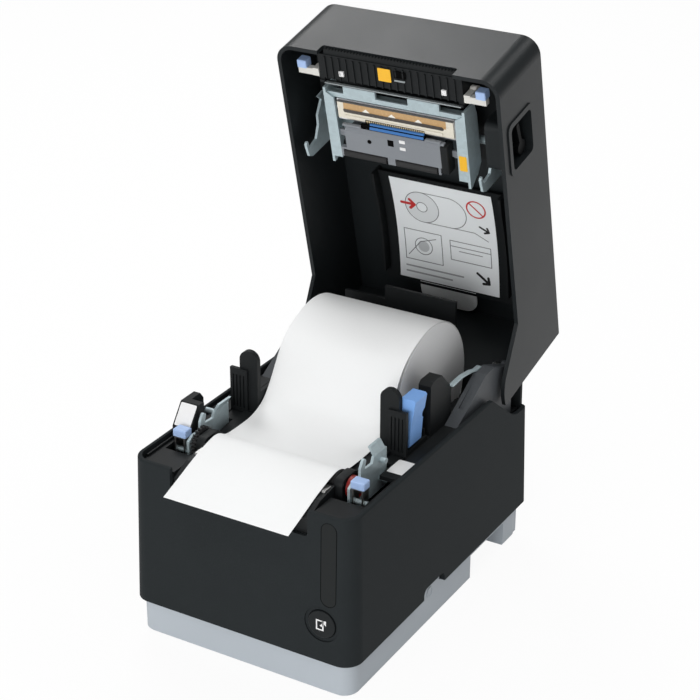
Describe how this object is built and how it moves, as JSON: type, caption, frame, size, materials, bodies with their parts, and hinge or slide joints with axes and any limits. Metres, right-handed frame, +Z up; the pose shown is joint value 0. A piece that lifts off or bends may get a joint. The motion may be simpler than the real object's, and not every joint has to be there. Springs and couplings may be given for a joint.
{
  "type": "receipt printer",
  "caption": "Desktop thermal receipt printer with an open clamshell lid, drop-in paper roll, platen and gear train, print head, cutter and sliding roll guides.",
  "frame": {"origin": "centre of the base's underside, on the surface it stands on", "axes": "+X right seen from the front, -Y towards the front where the paper comes out, +Z up"},
  "size_m": [0.146, 0.2671, 0.319],
  "materials": {
    "black_case": "fine textured charcoal",
    "black_inner": "moulded black",
    "dark_arm": "moulded dark grey",
    "base_grey": "moulded light grey",
    "smoked_lens": "smoked",
    "button_black": "moulded",
    "blue_plastic": "moulded pale blue",
    "pale_plastic": "moulded off white",
    "red_plastic": "moulded red",
    "grey_panel": "moulded mid grey",
    "gear_plastic": "moulded natural",
    "zinc_steel": "galvanised",
    "bright_steel": "ground",
    "aluminium": "milled",
    "ceramic": "glazed",
    "platen_rubber": "ground",
    "foot_rubber": "matte",
    "paper": "smooth thermal",
    "cardboard": "wound",
    "board_green": "solder mask",
    "motor_can": "black",
    "socket_black": "moulded"
  },
  "bodies": {
    "printer": {"base_tray": "base_grey", "rubber_feet": "foot_rubber", "case_screws": "bright_steel", "case_shell": "black_case", "led_lens": "smoked_lens", "button_board": "board_green", "deck": "black_inner", "roll_bay": "black_inner", "rear_bay_wall": "black_inner", "print_frame": "zinc_steel", "platen_bushes": "red_plastic", "feed_motor": "motor_can", "exit_guide": "black_inner", "fixed_blade": "bright_steel", "paper_web": "paper", "left_housing": "black_inner", "hinge_towers": "dark_arm", "hinge_pins": "bright_steel", "hinge_springs": "bright_steel", "control_board": "board_green", "power_inlet": "socket_black", "data_sockets": "zinc_steel", "switch_frame": "socket_black"},
    "lid": {"lid_shell": "black_case", "lever_pocket": "black_inner", "lid_liner": "black_inner", "lid_frame": "black_inner", "tear_bar": "black_inner", "cutter_cover": "black_inner", "cutter_motor": "motor_can", "head_bracket": "zinc_steel", "heat_sink": "aluminium", "print_head": "ceramic", "head_springs": "bright_steel", "sensor_panel": "grey_panel"},
    "feed_button": {"feed_button": "button_black"},
    "power_rocker": {"switch_rocker": "socket_black"},
    "platen": {"platen_shaft": "bright_steel", "platen_roller": "platen_rubber", "platen_gear": "gear_plastic"},
    "idler": {"idler_gear": "gear_plastic"},
    "motor_rotor": {"motor_pinion": "bright_steel"},
    "roll": {"paper_roll": "paper", "roll_core": "cardboard"},
    "right_guide": {"right_guide": "black_inner"},
    "left_guide": {"left_guide": "black_inner"},
    "guide_lock": {"guide_lock": "blue_plastic"},
    "release_right": {"release_lever_right": "bright_steel", "release_cap_right": "blue_plastic"},
    "release_left": {"release_lever_left": "bright_steel", "release_cap_left": "blue_plastic"},
    "pinch": {"pinch_rollers": "platen_rubber"},
    "latch": {"latch_bar": "zinc_steel", "open_lever": "black_inner"},
    "blade": {"cutter_blade": "bright_steel"},
    "head_lock_right": {"head_lock_right": "pale_plastic", "lock_tab_right": "blue_plastic"},
    "head_lock_left": {"head_lock_left": "pale_plastic", "lock_tab_left": "blue_plastic"}
  },
  "joints": [
    {"name": "lid_hinge", "type": "hinge", "parent": "printer", "child": "lid", "pos_m": [0, 0.0963, 0.111], "axis": [1, 0, 0], "range_deg": [0, 76.2], "stiffness_Nm_per_rad": 0.6, "springref_deg": -28.65, "deforming": ["paper_web"]},
    {"name": "button_press", "type": "slide", "parent": "printer", "child": "feed_button", "axis": [0, 1, 0], "range_m": [0, 0.0012], "stiffness_N_per_m": 400},
    {"name": "power_rock", "type": "hinge", "parent": "printer", "child": "power_rocker", "pos_m": [0.045, 0.10349, 0.0433], "axis": [1, 0, 0], "range_deg": [0, 11.5]},
    {"name": "platen_spin", "type": "hinge", "parent": "printer", "child": "platen", "pos_m": [0, -0.066, 0.1088], "axis": [1, 0, 0], "continuous": true},
    {"name": "idler_spin", "type": "hinge", "parent": "printer", "child": "idler", "pos_m": [0, -0.05806, 0.087], "axis": [1, 0, 0], "continuous": true},
    {"name": "motor_spin", "type": "hinge", "parent": "printer", "child": "motor_rotor", "pos_m": [0, -0.06618, 0.0696], "axis": [1, 0, 0], "continuous": true},
    {"name": "roll_spin", "type": "hinge", "parent": "printer", "child": "roll", "pos_m": [0, 0.0394, 0.1173], "axis": [1, 0, 0], "continuous": true},
    {"name": "guide_slide", "type": "slide", "parent": "printer", "child": "right_guide", "axis": [1, 0, 0], "range_m": [0, 0.004]},
    {"name": "left_guide_slide", "type": "slide", "parent": "printer", "child": "left_guide", "axis": [-1, 0, 0], "range_m": [0, 0.004]},
    {"name": "guide_lock_tilt", "type": "hinge", "parent": "right_guide", "child": "guide_lock", "pos_m": [0.0535, -0.009, 0.113], "axis": [0, 1, 0], "range_deg": [0, 6]},
    {"name": "release_right_turn", "type": "hinge", "parent": "printer", "child": "release_right", "pos_m": [0.0575, -0.073, 0.105], "axis": [1, 0, 0], "range_deg": [0, 25]},
    {"name": "release_left_turn", "type": "hinge", "parent": "printer", "child": "release_left", "pos_m": [-0.0575, -0.073, 0.105], "axis": [1, 0, 0], "range_deg": [0, 25]},
    {"name": "pinch_spin", "type": "hinge", "parent": "lid", "child": "pinch", "pos_m": [0, 0.06723, 0.24277], "axis": [1, 0, 0], "continuous": true},
    {"name": "latch_turn", "type": "hinge", "parent": "lid", "child": "latch", "pos_m": [0, 0.08907, 0.25781], "axis": [1, 0, 0], "range_deg": [-10.7, 0]},
    {"name": "blade_stroke", "type": "slide", "parent": "lid", "child": "blade", "axis": [0, -0.9711, -0.2385], "range_m": [0, 0.007]},
    {"name": "head_lock_right_turn", "type": "hinge", "parent": "lid", "child": "head_lock_right", "pos_m": [0.0484, 0.06691, 0.29356], "axis": [1, 0, 0], "range_deg": [-25, 0]},
    {"name": "head_lock_left_turn", "type": "hinge", "parent": "lid", "child": "head_lock_left", "pos_m": [-0.0484, 0.06691, 0.29356], "axis": [1, 0, 0], "range_deg": [-25, 0]}
  ],
  "couplings": [
    {"joint": "idler_spin", "follows": "platen_spin", "ratio": -0.61111},
    {"joint": "motor_spin", "follows": "platen_spin", "ratio": 1.8333},
    {"joint": "left_guide_slide", "follows": "guide_slide", "ratio": 1}
  ]
}
